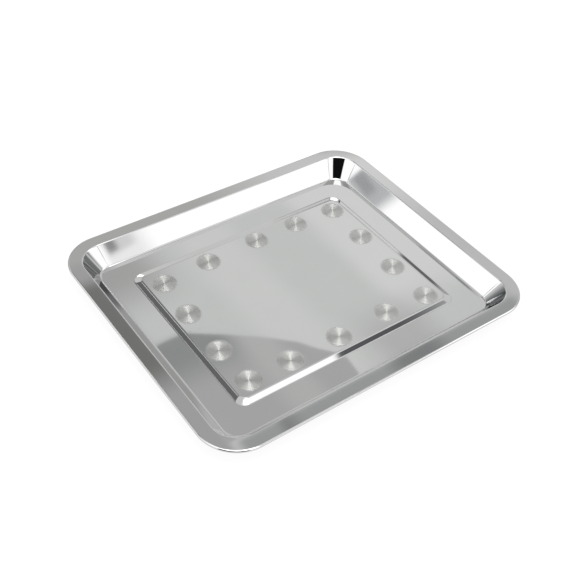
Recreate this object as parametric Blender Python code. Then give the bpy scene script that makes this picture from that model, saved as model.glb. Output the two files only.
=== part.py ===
"""A shallow rectangular tray pressed from one sheet of polished steel.

The sheet runs, from the middle outwards: a raised flat panel, a sloping step, a flat floor
ring, a sloping wall, a flat flange, and a hollow lip where the edge is rolled under.
Metres, +Z up, +X along the long side, origin on the table under the tray's middle.
"""

import math

import bmesh
import bpy

# Overall size
LENGTH = 0.360
WIDTH = 0.302
HEIGHT = 0.020
SHEET = 0.0005

# Distance in from the tray's outer edge to each fold, measured where the flat faces would meet
FLANGE_FOLD = 0.0141
FLOOR_FOLD = 0.0279
STEP_FOOT = 0.0536
STEP_TOP = 0.0594

# Height of each flat upper face
FLOOR_LEVEL = SHEET
PANEL_LEVEL = FLOOR_LEVEL + 0.0017
FLANGE_LEVEL = HEIGHT

# Bend radius of each fold, on the upper face
FLANGE_BEND = 0.0015
FLOOR_BEND = 0.0022
STEP_FOOT_BEND = 0.0050
STEP_TOP_BEND = 0.0080

# Rolled lip: its radius outside, and the facets that the sheet goes round it from the flange
LIP_RADIUS = 0.0016
LIP_STEPS = 13
LIP_STEP_ANGLE = math.pi / 8

# Corner radius of the tray's outline at each distance in from the edge
CORNER_RADII = (
    (0.0, 0.0390),
    (FLANGE_FOLD, 0.0246),
    (FLOOR_FOLD, 0.0150),
    (STEP_FOOT, 0.0105),
    (STEP_TOP, 0.0072),
)

# Facets
CORNER_STEPS = 9
BEND_STEPS = 3
SMOOTH_ANGLE = math.radians(35)

STEEL_COLOUR = (0.62, 0.62, 0.61, 1.0)
STEEL_ROUGHNESS = 0.12


def clear_scene():
    for thing in list(bpy.data.objects):
        bpy.data.objects.remove(thing, do_unlink=True)


def steel():
    """Bright rolled stainless steel."""
    material = bpy.data.materials.new("polished_steel")
    material.use_nodes = True
    shader = material.node_tree.nodes["Principled BSDF"]
    shader.inputs["Base Color"].default_value = STEEL_COLOUR
    shader.inputs["Metallic"].default_value = 1.0
    shader.inputs["Roughness"].default_value = STEEL_ROUGHNESS
    return material


def corner_radius(inset):
    """Corner radius of the outline that lies this far in from the edge."""
    for (near, near_radius), (far, far_radius) in zip(CORNER_RADII, CORNER_RADII[1:]):
        if inset <= far:
            part = (inset - near) / (far - near)
            return near_radius + part * (far_radius - near_radius)
    return CORNER_RADII[-1][1]


def fold(before, corner, after, radius, depth):
    """Points of one rounded fold of the section.

    The section turns at corner, coming from before and going on to after. radius is the bend's
    radius on the upper face, and depth is how far below that face these points lie.
    """
    arrive = math.atan2(corner[1] - before[1], corner[0] - before[0])
    leave = math.atan2(after[1] - corner[1], after[0] - corner[0])
    turn = leave - arrive
    side = math.copysign(1.0, turn)
    reach = radius * math.tan(abs(turn) / 2)
    start = (corner[0] - reach * math.cos(arrive), corner[1] - reach * math.sin(arrive))
    centre = (start[0] - side * radius * math.sin(arrive), start[1] + side * radius * math.cos(arrive))
    # The sheet lies on the right of a section that runs outwards with its material below
    own_radius = radius + side * depth
    points = []
    for step in range(BEND_STEPS + 1):
        heading = arrive + turn * step / BEND_STEPS
        points.append((
            centre[0] + side * own_radius * math.sin(heading),
            centre[1] - side * own_radius * math.cos(heading),
        ))
    return points


def lip(depth):
    """Points of the rolled lip, from the flange round to the sheet's edge."""
    own_radius = LIP_RADIUS - depth
    centre = (-LIP_RADIUS, FLANGE_LEVEL - LIP_RADIUS)
    points = []
    for step in range(LIP_STEPS + 1):
        angle = math.pi / 2 - LIP_STEP_ANGLE * step
        points.append((
            centre[0] + own_radius * math.cos(angle),
            centre[1] + own_radius * math.sin(angle),
        ))
    return points


def section(depth):
    """The sheet's section from the panel out to the lip, as (outward, height) points.

    outward is 0 at the tray's edge and negative inside it. depth is 0 for the sheet's upper
    face and SHEET for its lower face.
    """
    centre = (-WIDTH / 2, PANEL_LEVEL)
    step_top = (-STEP_TOP, PANEL_LEVEL)
    step_foot = (-STEP_FOOT, FLOOR_LEVEL)
    floor_fold = (-FLOOR_FOLD, FLOOR_LEVEL)
    flange_fold = (-FLANGE_FOLD, FLANGE_LEVEL)
    lip_start = (-LIP_RADIUS, FLANGE_LEVEL)
    return (
        fold(centre, step_top, step_foot, STEP_TOP_BEND, depth)
        + fold(step_top, step_foot, floor_fold, STEP_FOOT_BEND, depth)
        + fold(step_foot, floor_fold, flange_fold, FLOOR_BEND, depth)
        + fold(floor_fold, flange_fold, lip_start, FLANGE_BEND, depth)
        + lip(depth)
    )


def outline(mesh, inset, height):
    """The corners of a rounded rectangle that lies this far in from the tray's edge."""
    radius = corner_radius(inset)
    across = LENGTH / 2 - inset - radius
    deep = WIDTH / 2 - inset - radius
    middles = ((across, deep), (-across, deep), (-across, -deep), (across, -deep))
    ring = []
    for quarter, (x, y) in enumerate(middles):
        for step in range(CORNER_STEPS + 1):
            angle = math.pi / 2 * (quarter + step / CORNER_STEPS)
            ring.append(mesh.verts.new((x + radius * math.cos(angle), y + radius * math.sin(angle), height)))
    return ring


def band(mesh, inner, outer):
    """Faces between two outlines, facing up where the second lies outside the first."""
    for index, corner in enumerate(inner):
        before = index - 1
        mesh.faces.new((inner[before], outer[before], outer[index], corner))


def tray_sheet():
    """Skin the outlines along the upper face, round the sheet's edge and back underneath."""
    upper = section(0.0)
    lower = section(SHEET)
    mesh = bmesh.new()
    rings = [outline(mesh, -out, height) for out, height in upper + lower[::-1]]
    mesh.faces.new(rings[0])
    for inner, outer in zip(rings, rings[1:]):
        band(mesh, inner, outer)
    mesh.faces.new(rings[-1][::-1])
    data = bpy.data.meshes.new("tray_sheet")
    mesh.to_mesh(data)
    mesh.free()
    data.shade_smooth()
    data.set_sharp_from_angle(angle=SMOOTH_ANGLE)
    data.materials.append(steel())
    tray = bpy.data.objects.new("tray_sheet", data)
    bpy.context.scene.collection.objects.link(tray)


clear_scene()
tray_sheet()
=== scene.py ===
"""The looks of a shallow tray pressed from polished steel, with circular brushed spots on its panel.

Everything is in metres in the frame's own axes: +X along the tray's long side, +Z up.
"""

import math

import bmesh
import bpy
from mathutils import Matrix, Vector


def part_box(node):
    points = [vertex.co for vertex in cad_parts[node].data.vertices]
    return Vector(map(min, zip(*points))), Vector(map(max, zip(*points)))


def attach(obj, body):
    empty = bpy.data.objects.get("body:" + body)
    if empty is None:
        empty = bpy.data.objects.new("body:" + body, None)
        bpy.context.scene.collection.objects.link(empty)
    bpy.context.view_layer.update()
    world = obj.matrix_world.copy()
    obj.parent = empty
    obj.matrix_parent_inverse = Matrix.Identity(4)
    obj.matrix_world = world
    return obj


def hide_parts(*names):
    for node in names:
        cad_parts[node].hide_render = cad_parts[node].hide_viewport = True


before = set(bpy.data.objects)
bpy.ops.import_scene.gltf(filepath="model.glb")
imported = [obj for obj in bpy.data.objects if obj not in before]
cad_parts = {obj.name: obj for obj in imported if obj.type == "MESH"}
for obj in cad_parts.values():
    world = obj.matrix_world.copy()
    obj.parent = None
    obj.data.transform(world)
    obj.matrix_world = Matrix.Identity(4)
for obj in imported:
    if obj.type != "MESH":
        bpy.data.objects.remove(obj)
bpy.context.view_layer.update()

# ---------------------------------------------------------------------------------------------
# The tray's dimensions: the overall size is the frame's, and the folds repeat the CAD section
# ---------------------------------------------------------------------------------------------

BOX_LOW, BOX_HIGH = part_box("tray_sheet")
LENGTH = BOX_HIGH.x - BOX_LOW.x
WIDTH = BOX_HIGH.y - BOX_LOW.y
HEIGHT = BOX_HIGH.z
SHEET = 0.0005

FLANGE_FOLD = 0.0141
FLOOR_FOLD = 0.0279
STEP_FOOT = 0.0536
STEP_TOP = 0.0594

FLOOR_LEVEL = SHEET
PANEL_LEVEL = FLOOR_LEVEL + 0.0017
FLANGE_LEVEL = HEIGHT

FLANGE_BEND = 0.0015
FLOOR_BEND = 0.0022
STEP_FOOT_BEND = 0.0050
STEP_TOP_BEND = 0.0080

LIP_RADIUS = 0.0016
LIP_TURN = math.radians(292)

# How far from a bend the flats beside it are pinned flat, and how far from a corner the straights
SUPPORT = 0.00012
STRAIGHT_SUPPORT = 0.0004

CORNER_RADII = (
    (0.0, 0.0390),
    (FLANGE_FOLD, 0.0246),
    (FLOOR_FOLD, 0.0150),
    (STEP_FOOT, 0.0105),
    (STEP_TOP, 0.0072),
)

CORNER_STEPS = 28
BEND_STEPS = 9
LIP_STEPS = 36

# The brushed spots: their size, how far inside the panel's edge the middles of the outer ones
# stand, and how far every spot's rim keeps from the panel's bend
SPOT_RADIUS = 0.0139
SPOT_INSET = 0.015
SPOT_MARGIN = 0.0002
SPOT_SIDES = 56

# Rows of spots from -Y to +Y, each from -X to +X. The photograph's spots aren't evenly spaced, so
# every spot slips this many millimetres in X and in Y from its even place.
SPOT_SLIPS = (
    ((2, 1), (-6, 0), (-3, 0), (3, 1), (-2, -2)),
    ((-1, -6), (-2, -3)),
    ((0, -2), (0, 0)),
    ((2, -5), (2, -1), (9, 1), (6, 1), (1, -1)),
)
MILLIMETRE = 0.001

# Materials' places on the tray's mesh
POLISHED, SPOT, UNDERSIDE = range(3)


# ---------------------------------------------------------------------------------------------
# The camera: where it looks, from which side, how far off, and how it leans
# ---------------------------------------------------------------------------------------------

TARGET = Vector((-0.0052, -0.0011, 0.0022))
AZIMUTH = math.radians(-39.05)
ELEVATION = math.radians(43.46)
ROLL = math.radians(4.79)
DISTANCE = 0.8891
LENS = 56.46


def add_camera():
    """Put the camera on its line through the target. back points from the target to the camera."""
    back = Vector((
        math.sin(AZIMUTH) * math.cos(ELEVATION),
        -math.cos(AZIMUTH) * math.cos(ELEVATION),
        math.sin(ELEVATION),
    ))
    right = Vector((0, 0, 1)).cross(back).normalized()
    up = back.cross(right)
    leaned_right = math.cos(ROLL) * right + math.sin(ROLL) * up
    leaned_up = back.cross(leaned_right)
    data = bpy.data.cameras.new("camera")
    data.lens = LENS
    camera = bpy.data.objects.new("camera", data)
    turn = Matrix((leaned_right, leaned_up, back)).transposed().to_4x4()
    camera.matrix_world = Matrix.Translation(TARGET + back * DISTANCE) @ turn
    bpy.context.scene.collection.objects.link(camera)
    bpy.context.scene.camera = camera


# ---------------------------------------------------------------------------------------------
# The tray's shape
# ---------------------------------------------------------------------------------------------


def corner_radius(inset):
    """Corner radius of the outline that lies this far in from the edge."""
    for (near, near_radius), (far, far_radius) in zip(CORNER_RADII, CORNER_RADII[1:]):
        if inset <= far:
            part = (inset - near) / (far - near)
            return near_radius + part * (far_radius - near_radius)
    return CORNER_RADII[-1][1]


def fold(before, corner, after, radius, depth):
    """Points of one rounded fold of the section, depth below the sheet's upper face.

    One more point lies on the flat close by on either side, which keeps the flats' shading flat.
    """
    arrive = math.atan2(corner[1] - before[1], corner[0] - before[0])
    leave = math.atan2(after[1] - corner[1], after[0] - corner[0])
    turn = leave - arrive
    side = math.copysign(1.0, turn)
    reach = radius * math.tan(abs(turn) / 2)
    start = (corner[0] - reach * math.cos(arrive), corner[1] - reach * math.sin(arrive))
    centre = (start[0] - side * radius * math.sin(arrive), start[1] + side * radius * math.cos(arrive))
    own_radius = radius + side * depth
    points = []
    for step in range(BEND_STEPS + 1):
        heading = arrive + turn * step / BEND_STEPS
        points.append((
            centre[0] + side * own_radius * math.sin(heading),
            centre[1] - side * own_radius * math.cos(heading),
        ))
    first = (points[0][0] - SUPPORT * math.cos(arrive), points[0][1] - SUPPORT * math.sin(arrive))
    last = (points[-1][0] + SUPPORT * math.cos(leave), points[-1][1] + SUPPORT * math.sin(leave))
    return [first] + points + [last]


def lip(depth):
    """Points of the rolled lip, from the flange round to the sheet's edge."""
    own_radius = LIP_RADIUS - depth
    centre = (-LIP_RADIUS, FLANGE_LEVEL - LIP_RADIUS)
    points = [(centre[0] - SUPPORT, FLANGE_LEVEL - depth)]
    for step in range(LIP_STEPS + 1):
        angle = math.pi / 2 - LIP_TURN * step / LIP_STEPS
        points.append((
            centre[0] + own_radius * math.cos(angle),
            centre[1] + own_radius * math.sin(angle),
        ))
    return points


def section(depth):
    """The sheet's section from the panel out to the lip, as (outward, height) points."""
    centre = (-WIDTH / 2, PANEL_LEVEL)
    step_top = (-STEP_TOP, PANEL_LEVEL)
    step_foot = (-STEP_FOOT, FLOOR_LEVEL)
    floor_fold = (-FLOOR_FOLD, FLOOR_LEVEL)
    flange_fold = (-FLANGE_FOLD, FLANGE_LEVEL)
    lip_start = (-LIP_RADIUS, FLANGE_LEVEL)
    return (
        fold(centre, step_top, step_foot, STEP_TOP_BEND, depth)
        + fold(step_top, step_foot, floor_fold, STEP_FOOT_BEND, depth)
        + fold(step_foot, floor_fold, flange_fold, FLOOR_BEND, depth)
        + fold(floor_fold, flange_fold, lip_start, FLANGE_BEND, depth)
        + lip(depth)
    )


def outline(mesh, inset, height):
    """The corners of a rounded rectangle that lies this far in from the tray's edge.

    One more point lies on the straight close by on either side of each round corner.
    """
    radius = corner_radius(inset)
    across = LENGTH / 2 - inset - radius
    deep = WIDTH / 2 - inset - radius
    middles = ((across, deep), (-across, deep), (-across, -deep), (across, -deep))
    turns = [(0, -STRAIGHT_SUPPORT)] + [(step / CORNER_STEPS, 0) for step in range(CORNER_STEPS + 1)]
    turns.append((1, STRAIGHT_SUPPORT))
    ring = []
    for quarter, (x, y) in enumerate(middles):
        for share, onward in turns:
            angle = math.pi / 2 * (quarter + share)
            place_x = x + radius * math.cos(angle) - onward * math.sin(angle)
            place_y = y + radius * math.sin(angle) + onward * math.cos(angle)
            ring.append(mesh.verts.new((place_x, place_y, height)))
    return ring


def distances_round(ring):
    """How far round the outline each of its corners lies, and the whole way round."""
    reached = [0.0]
    for here, after in zip(ring, ring[1:] + ring[:1]):
        reached.append(reached[-1] + (after.co - here.co).length)
    return reached


def band(mesh, inner, outer, across, along, sheet_map, material):
    """Faces between two outlines, facing up where the second lies outside the first.

    Their sheet coordinates are the way round the tray, and how far the two outlines lie beyond the
    start of the lip, measured along the sheet.
    """
    for index in range(len(inner)):
        after = (index + 1) % len(inner)
        face = mesh.faces.new((inner[index], outer[index], outer[after], inner[after]))
        face.material_index = material
        start, end = along[index], along[index + 1]
        places = ((start, across[0]), (start, across[1]), (end, across[1]), (end, across[0]))
        for corner, place in zip(face.loops, places):
            corner[sheet_map].uv = place


def within(value, limit):
    """The value, or the nearest one that is no further than limit from zero."""
    return max(-limit, min(limit, value))


def spot_middles():
    """The middle of each spot: its even place over the panel, and then its slip."""
    across = LENGTH / 2 - STEP_TOP - SPOT_INSET
    deep = WIDTH / 2 - STEP_TOP - SPOT_INSET
    middles = []
    for row, slips in enumerate(SPOT_SLIPS):
        even_y = deep * (2 * row / (len(SPOT_SLIPS) - 1) - 1)
        for column, (slip_x, slip_y) in enumerate(slips):
            even_x = across * (2 * column / (len(slips) - 1) - 1)
            middles.append((even_x + slip_x * MILLIMETRE, even_y + slip_y * MILLIMETRE))
    return middles


def spot_face(mesh, middle, limits, spot_map):
    """One brushed spot, with its own flat coordinates: 0 at its middle and 1 at its edge.

    It's cut off straight where it would reach past the panel's flat part, whose half length and
    half width are the limits.
    """
    rim = []
    for side in range(SPOT_SIDES):
        angle = 2 * math.pi * (side + 0.5) / SPOT_SIDES
        rim.append(mesh.verts.new((
            within(middle[0] + SPOT_RADIUS * math.cos(angle), limits[0]),
            within(middle[1] + SPOT_RADIUS * math.sin(angle), limits[1]),
            PANEL_LEVEL,
        )))
    face = mesh.faces.new(rim)
    face.material_index = SPOT
    for corner in face.loops:
        place = corner.vert.co
        corner[spot_map].uv = (
            (place.x - middle[0]) / SPOT_RADIUS,
            (place.y - middle[1]) / SPOT_RADIUS,
        )
    return face


def flat_map(face, sheet_map):
    """A flat face's sheet coordinates are its place on the table."""
    for corner in face.loops:
        corner[sheet_map].uv = corner.vert.co.xy


def panel(mesh, edge_ring, spot_map, sheet_map):
    """The flat panel inside its step: the spots, and the plain steel between them."""
    edges = [mesh.edges.new(pair) for pair in zip(edge_ring, edge_ring[1:] + edge_ring[:1])]
    limits = [max(corner.co[axis] for corner in edge_ring) - SPOT_MARGIN for axis in (0, 1)]
    for middle in spot_middles():
        edges += spot_face(mesh, middle, limits, spot_map).edges
    filled = bmesh.ops.triangle_fill(mesh, edges=edges, use_beauty=True, use_dissolve=False)
    for item in filled["geom"]:
        if isinstance(item, bmesh.types.BMFace):
            item.normal_update()
            if item.normal.z < 0:
                item.normal_flip()
            item.material_index = POLISHED
            flat_map(item, sheet_map)


def tray_mesh():
    """Skin the outlines along the upper face, round the sheet's edge and back underneath."""
    upper = section(0.0)
    lower = section(SHEET)
    points = upper + lower[::-1]
    mesh = bmesh.new()
    spot_map = mesh.loops.layers.uv.new("spot")
    sheet_map = mesh.loops.layers.uv.new("sheet")
    rings = [outline(mesh, -out, height) for out, height in points]
    along = distances_round(rings[len(upper) - 1])
    across = [0.0]
    for before, after in zip(points, points[1:]):
        across.append(across[-1] + math.dist(before, after))
    lip_start = across[len(upper) - LIP_STEPS - 1]
    across = [distance - lip_start for distance in across]
    panel(mesh, rings[0], spot_map, sheet_map)
    for index in range(len(rings) - 1):
        material = POLISHED if index + 1 < len(upper) else UNDERSIDE
        band(mesh, rings[index], rings[index + 1], across[index:index + 2], along, sheet_map, material)
    base = mesh.faces.new(rings[-1][::-1])
    base.material_index = UNDERSIDE
    flat_map(base, sheet_map)
    data = bpy.data.meshes.new("steel_tray")
    mesh.to_mesh(data)
    mesh.free()
    data.shade_smooth()
    return data


# ---------------------------------------------------------------------------------------------
# Node helpers
# ---------------------------------------------------------------------------------------------


def feed(tree, node, values):
    """Set a node's inputs in order, each from a socket or a plain value."""
    for place, value in zip(node.inputs, values):
        if isinstance(value, bpy.types.NodeSocket):
            tree.links.new(value, place)
        else:
            place.default_value = value
    return node


def maths(tree, operation, *values):
    node = tree.nodes.new("ShaderNodeMath")
    node.operation = operation
    return feed(tree, node, values).outputs[0]


def vector_maths(tree, operation, *values):
    node = tree.nodes.new("ShaderNodeVectorMath")
    node.operation = operation
    return feed(tree, node, values).outputs


def axes(tree, vector):
    """A vector's three parts, by their names."""
    return feed(tree, tree.nodes.new("ShaderNodeSeparateXYZ"), (vector,)).outputs


def smooth_range(tree, value, start, end):
    """0 where the value is at start, 1 where it is at end, and a smooth step between."""
    node = tree.nodes.new("ShaderNodeMapRange")
    node.interpolation_type = "SMOOTHSTEP"
    return feed(tree, node, (value, start, end)).outputs[0]


def share_inside(tree, value, ends, fades):
    """1 where the value lies between the two ends, fading out across each of them."""
    start, end = ends
    start_fade, end_fade = fades
    rise = smooth_range(tree, value, start - start_fade / 2, start + start_fade / 2)
    fall = smooth_range(tree, value, end + end_fade / 2, end - end_fade / 2)
    return maths(tree, "MULTIPLY", rise, fall)


def spread(tree, value, low, high):
    """Carry a value between 0 and 1 to the range from low to high."""
    node = tree.nodes.new("ShaderNodeMapRange")
    return feed(tree, node, (value, 0.0, 1.0, low, high)).outputs[0]


def blend(tree, share, below, above):
    """One colour laid over another, each a socket or three plain values."""
    node = tree.nodes.new("ShaderNodeMix")
    node.data_type = "RGBA"
    tree.links.new(share, node.inputs["Factor"])
    # Inputs 6 and 7 are the two that hold colours
    for place, value in ((node.inputs[6], below), (node.inputs[7], above)):
        if isinstance(value, bpy.types.NodeSocket):
            tree.links.new(value, place)
        else:
            place.default_value = tuple(value) + (1,)
    return node.outputs[2]


def mix_shares(tree, first, first_share, second):
    """Two patterns added up, the first with its share and the second with the rest."""
    rest = maths(tree, "MULTIPLY", second, 1 - first_share)
    return maths(tree, "MULTIPLY_ADD", first, first_share, rest)


def noise(tree, place, scale, detail):
    """Smooth noise between 0 and 1 whose features are about 1 / scale across."""
    node = tree.nodes.new("ShaderNodeTexNoise")
    tree.links.new(place, node.inputs["Vector"])
    node.inputs["Scale"].default_value = scale
    node.inputs["Detail"].default_value = detail
    return node.outputs["Fac"]


def coordinates(tree, map_name):
    node = tree.nodes.new("ShaderNodeUVMap")
    node.uv_map = map_name
    return node.outputs["UV"]


def object_place(tree):
    return tree.nodes.new("ShaderNodeTexCoord").outputs["Object"]


def bump(tree, height, distance, normal=None):
    """Raise the surface by the distance where the height is 1."""
    node = tree.nodes.new("ShaderNodeBump")
    node.inputs["Distance"].default_value = distance
    tree.links.new(height, node.inputs["Height"])
    if normal is not None:
        tree.links.new(normal, node.inputs["Normal"])
    return node.outputs["Normal"]


def new_material(name):
    material = bpy.data.materials.new(name)
    material.use_nodes = True
    tree = material.node_tree
    return material, tree, tree.nodes["Principled BSDF"]


# ---------------------------------------------------------------------------------------------
# Steel
# ---------------------------------------------------------------------------------------------

# Each finish's tint and roughness, at the low and the high end of its own mottle
POLISHED_TINTS = ((0.598, 0.604, 0.599), (0.642, 0.645, 0.639))
POLISHED_ROUGHNESS = (0.018, 0.044)
BRUSHED_TINTS = ((0.44, 0.44, 0.425), (0.62, 0.62, 0.605))
BRUSHED_ROUGHNESS = (0.25, 0.36)
UNDERSIDE_TINTS = ((0.47, 0.47, 0.46), (0.60, 0.60, 0.59))
UNDERSIDE_ROUGHNESS = (0.20, 0.38)

# How many marks of each kind fit in a metre. Polishing lines are long one way and fine the other
LINES_ALONG = 14.0
LINES_ACROSS = 2600.0
POLISHED_CLOUDS = 34.0
UNDERSIDE_CLOUDS = 45.0
RUBBED_PATCHES = 260.0
WAVES = 22.0
RIPPLES = 160.0

# How far the pressed sheet is from flat in its waves and its ripples, and in the underside's lines
WAVE_HEIGHT = 0.00002
RIPPLE_HEIGHT = 0.0000006
LINE_HEIGHT = 0.000006

# The share that polishing lines have in each mottle
POLISHED_LINE_SHARE = 0.45
UNDERSIDE_LINE_SHARE = 0.6

# The lip's rubbed patches: how far past its start they set in and end, at which levels of the
# noise a patch begins and is complete, and what it adds to the roughness
WEAR_SETS_IN = (0.0, 0.001)
WEAR_ENDS = (0.004, 0.002)
WEAR_LEVELS = (0.50, 0.68)
WEAR_ROUGHNESS = 0.05

# The brushed spots: radii are shares of a spot's own, and teeth of 2 or 3 mm make its edge ragged
BRUSHING = 0.97
RINGS_ACROSS_SPOT = 30.0
RAYS_ROUND_SPOT = 9.0
SPOT_TEETH = 420.0
TOOTH_DEPTH = 0.16
SPOT_EDGE = (1.07, 0.80)
SPOT_RIM_TINT = (0.62, 0.625, 0.62)
SPOT_RIM_ROUGHNESS = 0.04


def polish_lines(tree):
    """Faint lines left by the polishing mop, running round the tray and along its panel."""
    density = (LINES_ALONG, LINES_ACROSS, 0.0)
    stretched = vector_maths(tree, "MULTIPLY", coordinates(tree, "sheet"), density)["Vector"]
    return noise(tree, stretched, scale=1.0, detail=3.0)


def lip_wear(tree, place):
    """1 in the patches where the lip has been rubbed dull, and 0 elsewhere."""
    beyond = axes(tree, coordinates(tree, "sheet"))["Y"]
    after_start = smooth_range(tree, beyond, *WEAR_SETS_IN)
    before_end = smooth_range(tree, beyond, *WEAR_ENDS)
    patches = smooth_range(tree, noise(tree, place, RUBBED_PATCHES, detail=4.0), *WEAR_LEVELS)
    return maths(tree, "MULTIPLY", maths(tree, "MULTIPLY", after_start, before_end), patches)


def polished_steel():
    """Mirror-polished sheet: not quite flat, a little cloudy, with fine lines and a rubbed lip."""
    material, tree, shader = new_material("polished_steel")
    shader.inputs["Metallic"].default_value = 1.0
    place = object_place(tree)
    clouds = noise(tree, place, POLISHED_CLOUDS, detail=3.0)
    mottle = mix_shares(tree, polish_lines(tree), POLISHED_LINE_SHARE, clouds)
    tree.links.new(blend(tree, mottle, *POLISHED_TINTS), shader.inputs["Base Color"])
    clean = spread(tree, mottle, *POLISHED_ROUGHNESS)
    worn = maths(tree, "MULTIPLY_ADD", lip_wear(tree, place), WEAR_ROUGHNESS, clean)
    tree.links.new(worn, shader.inputs["Roughness"])
    waves = bump(tree, noise(tree, place, WAVES, detail=1.0), WAVE_HEIGHT)
    ripples = bump(tree, noise(tree, place, RIPPLES, detail=1.0), RIPPLE_HEIGHT, waves)
    tree.links.new(ripples, shader.inputs["Normal"])
    return material


def spot_steel():
    """Steel brushed in circles: it mirrors sharply along the scratches and spreads across them."""
    material, tree, shader = new_material("spot_brushed_steel")
    shader.inputs["Metallic"].default_value = 1.0
    shader.inputs["Anisotropic"].default_value = BRUSHING
    across = coordinates(tree, "spot")
    outwards = vector_maths(tree, "NORMALIZE", across)["Vector"]
    tree.links.new(outwards, shader.inputs["Tangent"])
    radius = vector_maths(tree, "LENGTH", across)["Value"]
    along_radius = tree.nodes.new("ShaderNodeCombineXYZ")
    feed(tree, along_radius, (maths(tree, "MULTIPLY", radius, RINGS_ACROSS_SPOT),))
    rings = noise(tree, along_radius.outputs[0], scale=1.0, detail=4.0)
    rays = noise(tree, outwards, RAYS_ROUND_SPOT, detail=3.0)
    marks = mix_shares(tree, rings, 0.5, rays)
    teeth = noise(tree, object_place(tree), SPOT_TEETH, detail=3.0)
    ragged = maths(tree, "MULTIPLY_ADD", teeth, TOOTH_DEPTH, radius)
    brushed = smooth_range(tree, ragged, *SPOT_EDGE)
    tint = blend(tree, brushed, SPOT_RIM_TINT, blend(tree, marks, *BRUSHED_TINTS))
    tree.links.new(tint, shader.inputs["Base Color"])
    coarse = spread(tree, marks, *BRUSHED_ROUGHNESS)
    tree.links.new(spread(tree, brushed, SPOT_RIM_ROUGHNESS, coarse), shader.inputs["Roughness"])
    return material


def underside_steel():
    """The mill's satin finish, which nobody polished."""
    material, tree, shader = new_material("underside_steel")
    shader.inputs["Metallic"].default_value = 1.0
    clouds = noise(tree, object_place(tree), UNDERSIDE_CLOUDS, detail=4.0)
    lines = polish_lines(tree)
    mottle = mix_shares(tree, lines, UNDERSIDE_LINE_SHARE, clouds)
    tree.links.new(blend(tree, mottle, *UNDERSIDE_TINTS), shader.inputs["Base Color"])
    tree.links.new(spread(tree, mottle, *UNDERSIDE_ROUGHNESS), shader.inputs["Roughness"])
    tree.links.new(bump(tree, lines, LINE_HEIGHT), shader.inputs["Normal"])
    return material


def add_tray():
    """The whole tray as one piece, with its materials in the order that its faces name them."""
    data = tray_mesh()
    for material in (polished_steel(), spot_steel(), underside_steel()):
        data.materials.append(material)
    tray = bpy.data.objects.new("steel_tray", data)
    bpy.context.scene.collection.objects.link(tray)
    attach(tray, "root")
    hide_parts("tray_sheet")


# ---------------------------------------------------------------------------------------------
# The studio: a white table, a small grey flag, and a soft pale surround with light and dark cards
# ---------------------------------------------------------------------------------------------

# The table is mostly lit from within, so that it stays an even white and the steel mirrors it so
TABLE_REACH = 6.0
TABLE_COLOUR = (0.12, 0.12, 0.12, 1)
TABLE_GLOW = 0.90
TABLE_ROUGHNESS = 0.9


def add_floor():
    mesh = bmesh.new()
    bmesh.ops.create_grid(mesh, x_segments=1, y_segments=1, size=TABLE_REACH)
    data = bpy.data.meshes.new("floor")
    mesh.to_mesh(data)
    mesh.free()
    material, tree, shader = new_material("floor_white")
    shader.inputs["Base Color"].default_value = TABLE_COLOUR
    shader.inputs["Roughness"].default_value = TABLE_ROUGHNESS
    shader.inputs["Specular IOR Level"].default_value = 0.0
    shader.inputs["Emission Color"].default_value = (1, 1, 1, 1)
    shader.inputs["Emission Strength"].default_value = TABLE_GLOW
    data.materials.append(material)
    floor = bpy.data.objects.new("floor", data)
    bpy.context.scene.collection.objects.link(floor)


# A flag of grey cloth hangs over the tray, and the polished panel mirrors it. Its corners, as X and
# Y, were chosen so that its reflection has the outline that the photograph shows. Its shade pales
# along Y, and a paler stripe crosses it at one stretch of X.
FLAG_HEIGHT = 2.0
FLAG_FADE = 0.014
FLAG_CORNERS = (
    (0.660, 1.095), (0.660, 1.600), (0.680, 1.645), (0.710, 1.660), (0.795, 1.660), (0.840, 1.645),
    (0.960, 1.565), (1.070, 1.480), (1.175, 1.380), (1.220, 1.310), (1.265, 1.255), (1.290, 1.210),
    (1.280, 1.130), (1.265, 1.095),
)
FLAG_DARK = (0.400, 0.410, 0.415)
FLAG_PALE = (0.580, 0.580, 0.580)
FLAG_PALES_ALONG = (1.56, 1.35)
FLAG_STRIPE = (0.660, 0.660, 0.655)
STRIPE_ENDS = (0.97, 1.12)
STRIPE_FADES = (0.12, 0.10)


def flag_material():
    """Plain cloth that fades out at its hem."""
    material = bpy.data.materials.new("flag_cloth")
    material.use_nodes = True
    tree = material.node_tree
    tree.nodes.clear()
    place = axes(tree, object_place(tree))
    paleness = smooth_range(tree, place["Y"], *FLAG_PALES_ALONG)
    stripe = share_inside(tree, place["X"], STRIPE_ENDS, STRIPE_FADES)
    shade = blend(tree, stripe, blend(tree, paleness, FLAG_DARK, FLAG_PALE), FLAG_STRIPE)
    cloth = tree.nodes.new("ShaderNodeEmission")
    tree.links.new(shade, cloth.inputs["Color"])
    clear = tree.nodes.new("ShaderNodeBsdfTransparent")
    hem = smooth_range(tree, axes(tree, coordinates(tree, "fade"))["X"], 0.0, 1.0)
    mix = feed(tree, tree.nodes.new("ShaderNodeMixShader"), (hem, clear.outputs[0], cloth.outputs[0]))
    output = tree.nodes.new("ShaderNodeOutputMaterial")
    tree.links.new(mix.outputs[0], output.inputs["Surface"])
    return material


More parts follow.
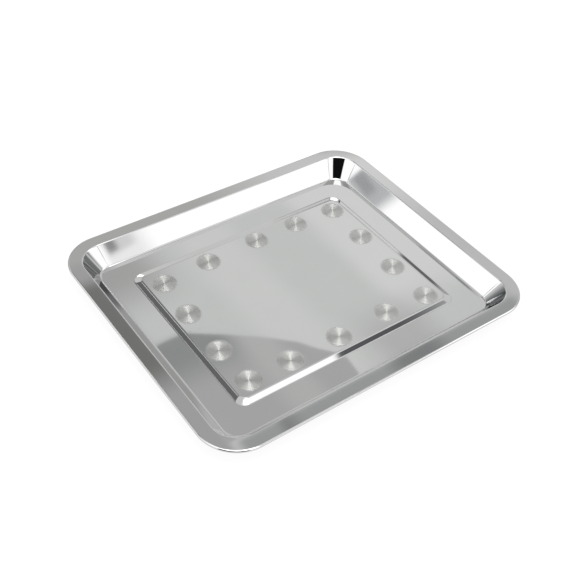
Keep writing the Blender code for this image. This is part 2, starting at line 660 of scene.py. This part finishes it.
def flag_mesh():
    """The cloth and its hem, with fade coordinates of 1 on the cloth and 0 at the hem's edge."""
    mesh = bmesh.new()
    fade_map = mesh.loops.layers.uv.new("fade")
    middle = sum((Vector(corner) for corner in FLAG_CORNERS), Vector((0, 0))) / len(FLAG_CORNERS)
    inner = []
    outer = []
    for corner in FLAG_CORNERS:
        place = Vector(corner)
        away = (place - middle).normalized() * FLAG_FADE / 2
        inner.append(mesh.verts.new((*(place - away), FLAG_HEIGHT)))
        outer.append(mesh.verts.new((*(place + away), FLAG_HEIGHT)))
    faces = [mesh.faces.new(inner)]
    for index in range(len(inner)):
        before = index - 1
        faces.append(mesh.faces.new((inner[before], outer[before], outer[index], inner[index])))
    cloth = set(inner)
    for face in faces:
        for corner in face.loops:
            corner[fade_map].uv = (1.0 if corner.vert in cloth else 0.0, 0.0)
    data = bpy.data.meshes.new("studio_flag")
    mesh.to_mesh(data)
    mesh.free()
    return data


def add_flag():
    data = flag_mesh()
    data.materials.append(flag_material())
    flag = bpy.data.objects.new("studio_flag", data)
    bpy.context.scene.collection.objects.link(flag)
    flag.visible_camera = False


SURROUND = 0.84

# Cards on the studio's walls: compass bearings from and to (0 is +Y, 90 is +X), elevations from and
# to, how softly it ends there (all round, or at each of those four edges in turn), and its colour,
# as one grey or as red, green and blue. All angles are in degrees. A later card covers an earlier
# one, and these cover the ceiling's.
WALL_CARDS = (
    # The white walls that the tray's +X and +Y walls mirror, and duller ones below and beside them
    (110, 190, -4, 12, 6, 0.95),
    (102, 300, 19.5, 39, (6, 6, 3, 6), 1.62),
    (294, 316, 14, 39, 6, 1.62),
    (156, 335, 27, 49, 6, 1.62),
    (299, 326, 24.8, 50, (4, 6, 1.2, 3), 0.86),
    # A grey cloud that shows in the +X wall
    (305.9, 308.7, 18.6, 20.6, (1.1, 0.2, 0.4, 0.5), (0.69, 0.70, 0.72)),
    (307.0, 308.6, 19.0, 19.75, (0.7, 0.2, 0.3, 0.4), (0.50, 0.51, 0.53)),
    # A small dark one that shows in the +Y wall, with a pale edge
    (157.6, 160.5, 22, 31, (1.6, 0.3, 2, 2), 1.30),
    (158.3, 160.35, 25.3, 31, (0.8, 0.2, 0.4, 2), 0.97),
    (159.5, 160.25, 25.5, 31, (0.5, 0.2, 0.35, 2), 0.38),
    # The greys that the -X wall mirrors, by way of the floor ring
    (38, 51.5, 26, 34.5, (2, 2, 2, 0.8), (0.62, 0.62, 0.615)),
    (36, 40.9, 26, 34.5, (2, 1, 2, 0.8), (0.28, 0.28, 0.29)),
    (36, 39.8, 26, 34.5, (2, 0.5, 2, 0.8), 0.12),
    # Dark stretches for the round corners of the walls
    (92, 113, 16, 27, (4, 8, 3, 3), 0.24),
    (79, 101, -10, 14, 7, (0.24, 0.25, 0.25)),
    (333, 372, -10, 24, (30, 12, 8, 8), (0.25, 0.26, 0.27)),
    (354, 370, -10, 22, (16, 12, 8, 8), (0.07, 0.08, 0.08)),
    (185, 251, -11, 47, 3, (0.008, 0.008, 0.009)),
)

# Cards on its ceiling, one metre up: x from and to, y from and to, softness and colour likewise
CEILING_CARDS = (
    # Over the panel and the floor ring
    (0.41, 1.31, 0.62, 1.06, 0.03, (0.830, 0.840, 0.835)),
    (0.57, 0.665, 0.62, 1.06, 0.05, (0.900, 0.905, 0.900)),
    (0.79, 1.35, 0.70, 1.06, (0.05, 0.30, 0.10, 0.04), (0.965, 0.970, 0.965)),
    (0.70, 0.81, 0.58, 0.70, (0.07, 0.07, 0.03, 0.10), 0.68),
    (0.93, 1.10, 0.58, 0.68, (0.05, 0.05, 0.03, 0.08), 0.64),
    # Over the flange along the -Y side
    (0.43, 1.02, 0.555, 0.615, (0.02, 0.02, 0.015, 0.01), (0.48, 0.485, 0.49)),
    (0.495, 0.520, 0.555, 0.615, (0.02, 0.04, 0.015, 0.01), (0.345, 0.345, 0.35)),
    (0.700, 0.795, 0.555, 0.615, (0.05, 0.05, 0.015, 0.01), (0.32, 0.325, 0.33)),
    # Over the flange along the -X side, and the edge of the floor ring beside it
    (0.18, 0.42, 0.57, 1.13, 0.015, 0.53),
    (0.18, 0.42, 0.765, 1.00, (0.015, 0.015, 0.08, 0.04), (0.26, 0.26, 0.255)),
    (0.42, 0.475, 0.62, 0.735, (0.01, 0.02, 0.01, 0.02), (0.57, 0.57, 0.565)),
    (0.42, 0.475, 0.735, 0.825, (0.01, 0.02, 0.03, 0.03), 0.42),
    (0.42, 0.515, 0.930, 1.10, (0.01, 0.09, 0.12, 0.02), (0.56, 0.56, 0.555)),
    # Over the flange along the +Y and the +X side
    (0.33, 0.745, 1.05, 1.55, (0.02, 0.24, 0.02, 0.02), (0.60, 0.60, 0.585)),
    (0.965, 1.315, 0.50, 0.90, (0.03, 0.03, 0.03, 0.20), 0.75),
    # For the steps along the -X and the +X side
    (-0.26, 0.18, 0.53, 1.04, 0.03, (0.19, 0.19, 0.195)),
    (-0.075, -0.005, 0.59, 0.88, 0.02, 1.50),
    (-0.11, 0.11, 0.535, 0.597, 0.015, (0.30, 0.30, 0.305)),
    # For the bends
    (0.22, 0.36, 0.27, 0.42, 0.04, 2.20),
    (0.35, 0.75, 0.20, 0.54, 0.02, 0.68),
    (0.35, 0.75, 0.45, 0.54, 0.02, 1.10),
    # The glow round the lamp, with a duller gap
    (-0.35, 0.75, -0.60, 0.22, 0.05, 1.30),
    (-0.45, 0.33, -0.80, -0.03, (0.30, 0.04, 0.35, 0.06), 2.6),
    (-0.45, -0.08, -0.06, 0.35, (0.30, 0.05, 0.05, 0.15), 2.6),
    (0.38, 0.74, -1.20, -0.16, 0.03, 0.80),
    (0.72, 1.15, -0.75, -0.10, (0.08, 0.25, 0.30, 0.08), 2.6),
    # White and then dark for the step along the -Y side, and between those two the lamp
    (0.35, 0.545, -0.05, 0.22, (0.03, 0.01, 0.03, 0.05), 1.60),
    (-0.10, 0.30, -0.07, 0.17, (0.20, 0.12, 0.06, 0.06), 6.5),
    (0.533, 0.75, -0.04, 0.08, (0.012, 0.25, 0.04, 0.04), (0.14, 0.14, 0.15)),
)

# Ceiling cards show only this far above the horizon, as the ceiling is endless
CEILING_ENDS = 0.02
LIGHT_MAP_SIZE = 512


def tint_of(colour):
    """A card's colour as red, green and blue."""
    return colour if isinstance(colour, tuple) else (colour,) * 3


def four_fades(fade):
    """A card's softness at each of its four edges."""
    return fade if isinstance(fade, tuple) else (fade,) * 4


def wall_card(tree, bearing, elevation, colour, card):
    """Lay one card of the studio's walls over the colour so far."""
    west, east, low, high, fade, card_colour = card
    fades = [math.radians(size) for size in four_fades(fade)]
    half = math.radians(east - west) / 2
    aside = maths(tree, "SUBTRACT", bearing, math.radians(east + west) / 2)
    turned = maths(tree, "WRAP", aside, math.pi, -math.pi)
    across = share_inside(tree, turned, (-half, half), fades[:2])
    upright = share_inside(tree, elevation, (math.radians(low), math.radians(high)), fades[2:])
    return blend(tree, maths(tree, "MULTIPLY", across, upright), colour, tint_of(card_colour))


def ceiling_card(tree, reach_x, reach_y, overhead, colour, card):
    """Lay one card of its ceiling over the colour so far."""
    left, right, near, far, fade, card_colour = card
    fades = four_fades(fade)
    across = share_inside(tree, reach_x, (left, right), fades[:2])
    along = share_inside(tree, reach_y, (near, far), fades[2:])
    share = maths(tree, "MULTIPLY", maths(tree, "MULTIPLY", across, along), overhead)
    return blend(tree, share, colour, tint_of(card_colour))


def add_world():
    """The surround, whose colour depends only on the direction in which it's seen."""
    world = bpy.data.worlds.new("studio")
    world.use_nodes = True
    tree = world.node_tree
    ray = axes(tree, tree.nodes.new("ShaderNodeTexCoord").outputs["Generated"])
    bearing = maths(tree, "ARCTAN2", ray["X"], ray["Y"])
    elevation = maths(tree, "ARCSINE", ray["Z"])
    overhead = maths(tree, "GREATER_THAN", ray["Z"], CEILING_ENDS)
    above = maths(tree, "MAXIMUM", ray["Z"], CEILING_ENDS)
    reach_x = maths(tree, "DIVIDE", ray["X"], above)
    reach_y = maths(tree, "DIVIDE", ray["Y"], above)
    colour = tint_of(SURROUND)
    for card in CEILING_CARDS:
        colour = ceiling_card(tree, reach_x, reach_y, overhead, colour, card)
    for card in WALL_CARDS:
        colour = wall_card(tree, bearing, elevation, colour, card)
    tree.links.new(colour, tree.nodes["Background"].inputs["Color"])
    world.cycles.sampling_method = "MANUAL"
    world.cycles.sample_map_resolution = LIGHT_MAP_SIZE
    bpy.context.scene.world = world


add_camera()
add_tray()
add_floor()
add_flag()
add_world()
bpy.context.scene.view_settings.view_transform = "Standard"
